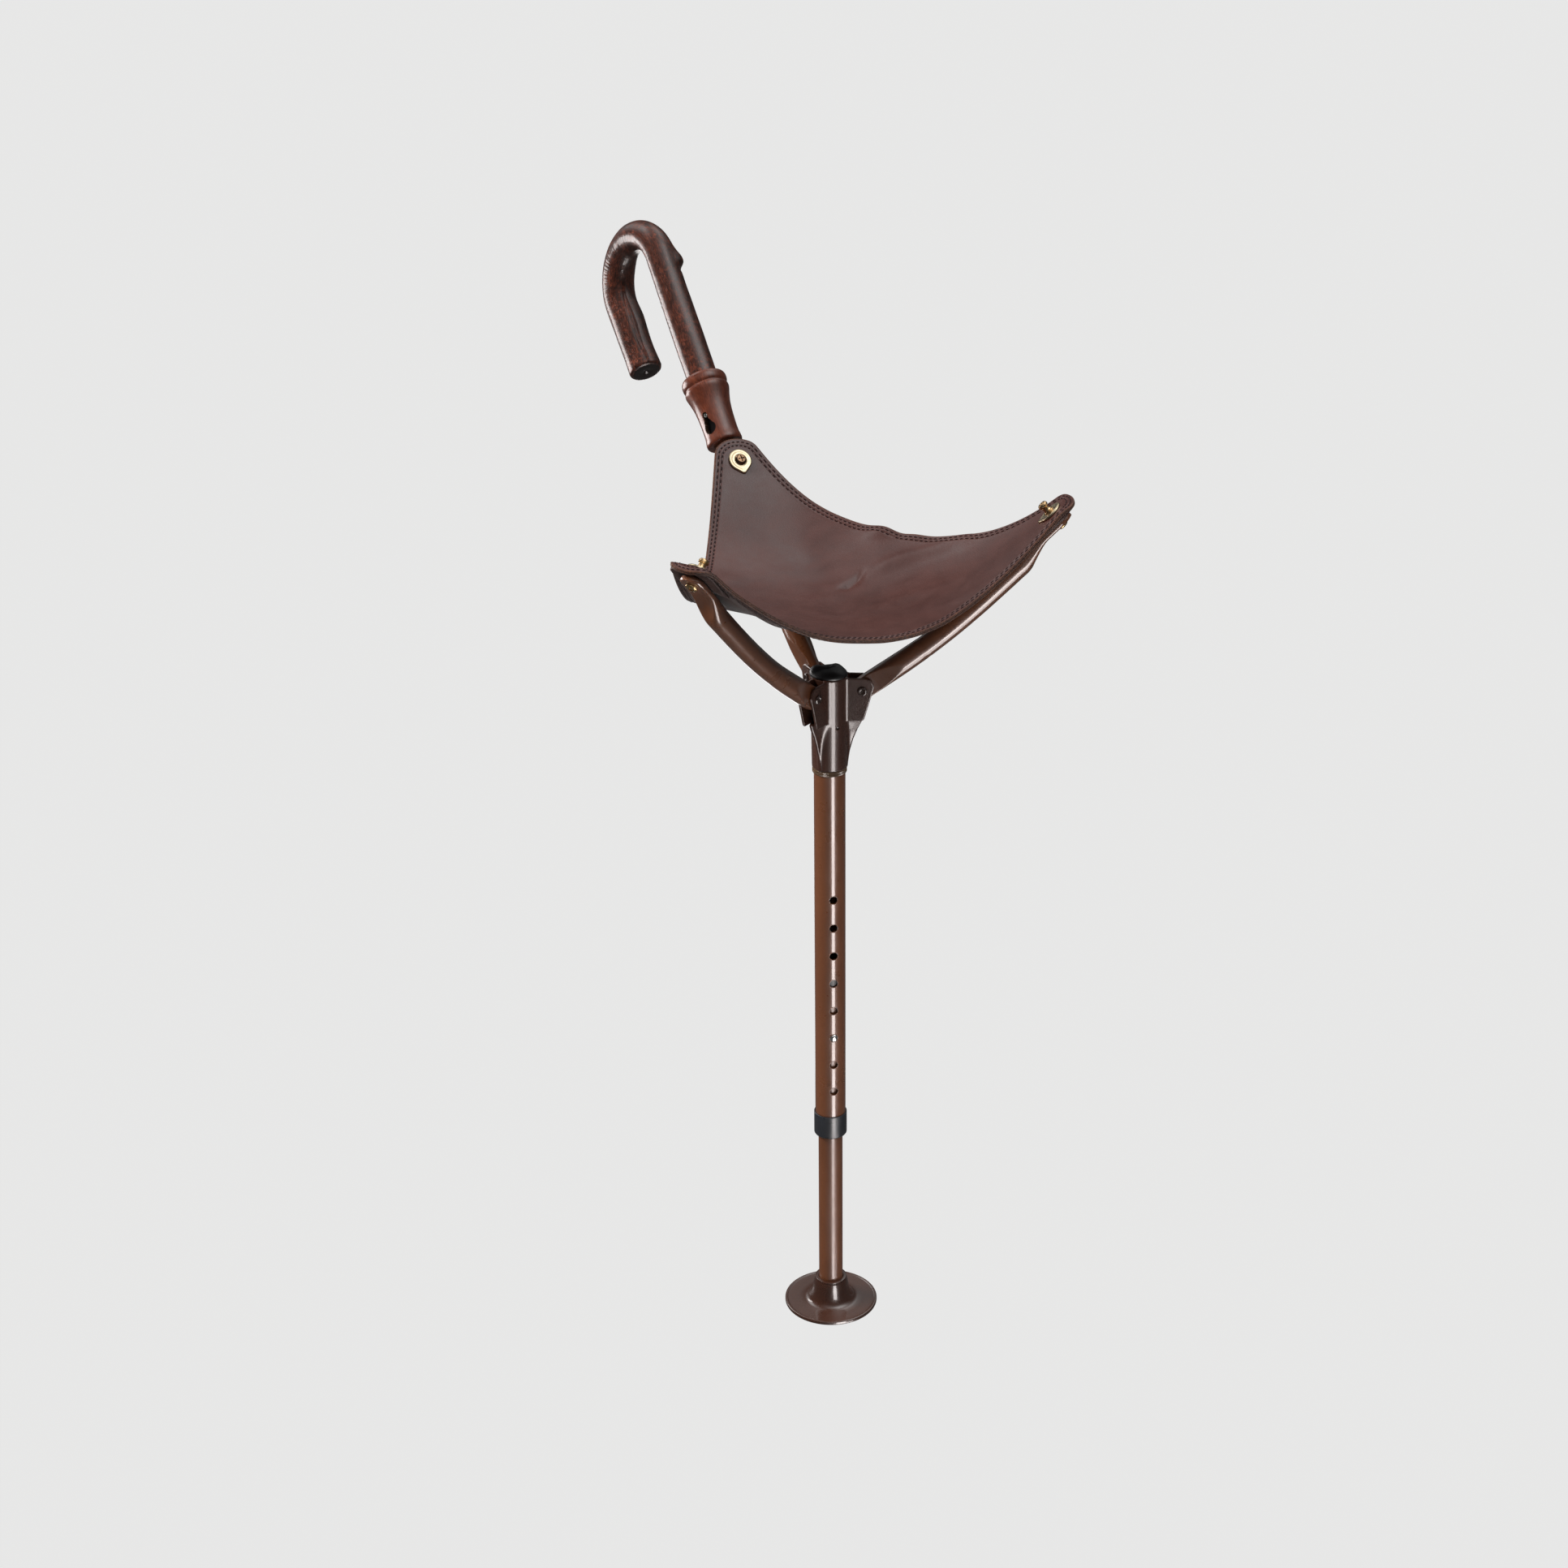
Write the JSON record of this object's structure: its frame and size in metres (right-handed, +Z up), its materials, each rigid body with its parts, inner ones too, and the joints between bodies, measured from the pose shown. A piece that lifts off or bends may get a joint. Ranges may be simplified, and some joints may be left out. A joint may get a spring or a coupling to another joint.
{
  "type": "walking stick seat",
  "caption": "Crook-handled walking stick that opens into a one-legged stool: three hinged arms spread a leather sling seat above a telescoping leg on a round foot plate.",
  "frame": {"origin": "centre of the foot plate's flat underside, on the leg's axis", "axes": "+Z up the leg towards the hub and seat, +X along the plain arm without the handle (arm C); arm A, which carries the handle, is at 120 degrees from +X towards +Y"},
  "size_m": [0.3968, 0.4949, 0.8588],
  "materials": {
    "foot_paint": "glossy dark brown enamel on steel",
    "tube_paint": "glossy brown enamel on steel tube",
    "hammered_paint": "brown hammered paint, satin",
    "ring_paint": "brown paint, satin",
    "black_plastic": "moulded black plastic",
    "button_chrome": "polished",
    "spring_steel": "sprung strip",
    "bright_steel": "zinc-plated",
    "dark_steel": "rivet painted brown",
    "seat_leather": "dark brown smooth leather, double stitched edge",
    "patch_leather": "brown leather, rough underside",
    "brass_plate": "polished pressed brass",
    "brass_screw": "polished brass",
    "brass_stud": "turned brass",
    "crook_wood": "steam-bent hardwood, dark red-brown gloss varnish",
    "collar_wood": "turned hardwood, red-brown gloss varnish"
  },
  "bodies": {
    "lower_leg": {"foot_plate": "foot_paint", "inner_tube": "tube_paint", "inner_guide": "black_plastic", "snap_spring": "spring_steel"},
    "height_button": {"snap_button": "button_chrome"},
    "upper_leg": {"outer_tube": "tube_paint", "end_bush": "black_plastic", "hub_body": "hammered_paint", "hub_ring": "ring_paint", "hub_cap": "black_plastic", "hub_pin": "dark_steel", "pivot_pin_a": "dark_steel", "pivot_pin_b": "dark_steel", "pivot_pin_c": "dark_steel", "leather_seat": "seat_leather"},
    "handle_arm": {"arm_a": "tube_paint", "slide_pin": "bright_steel", "corner_patch_a": "patch_leather", "corner_plate_a": "brass_plate", "corner_screw_a": "brass_screw", "corner_insert_a": "bright_steel"},
    "left_arm": {"arm_b": "tube_paint", "corner_patch_b": "patch_leather", "corner_plate_b": "brass_plate", "corner_screw_b": "brass_screw", "stud_b": "brass_stud"},
    "right_arm": {"arm_c": "tube_paint", "corner_patch_c": "patch_leather", "corner_plate_c": "brass_plate", "corner_screw_c": "brass_screw", "stud_c": "brass_stud"},
    "handle": {"crook_handle": "crook_wood", "collar": "collar_wood"}
  },
  "joints": [
    {"name": "leg_slide", "type": "slide", "parent": "lower_leg", "child": "upper_leg", "axis": [0, 0, 1], "range_m": [-0.125, 0.05], "deforming": ["snap_button"]},
    {"name": "button_press", "type": "slide", "parent": "lower_leg", "child": "height_button", "axis": [-0.2924, 0.9563, 0], "range_m": [0, 0.0036], "stiffness_N_per_m": 700, "springref_m": -0.002, "deforming": ["snap_spring"]},
    {"name": "handle_arm_fold", "type": "hinge", "parent": "upper_leg", "child": "handle_arm", "pos_m": [-0.01285, 0.02226, 0.564], "axis": [0.866, 0.5, 0], "range_deg": [0, 46], "deforming": ["leather_seat"]},
    {"name": "left_arm_fold", "type": "hinge", "parent": "upper_leg", "child": "left_arm", "pos_m": [-0.01285, -0.02226, 0.564], "axis": [-0.866, 0.5, 0], "range_deg": [0, 46], "deforming": ["leather_seat"]},
    {"name": "right_arm_fold", "type": "hinge", "parent": "upper_leg", "child": "right_arm", "pos_m": [0.0257, 0, 0.564], "axis": [0, -1, 0], "range_deg": [0, 46], "deforming": ["leather_seat"]},
    {"name": "handle_slide", "type": "slide", "parent": "handle_arm", "child": "handle", "axis": [-0.3473, 0.6016, 0.7193], "range_m": [0, 0.011]}
  ]
}
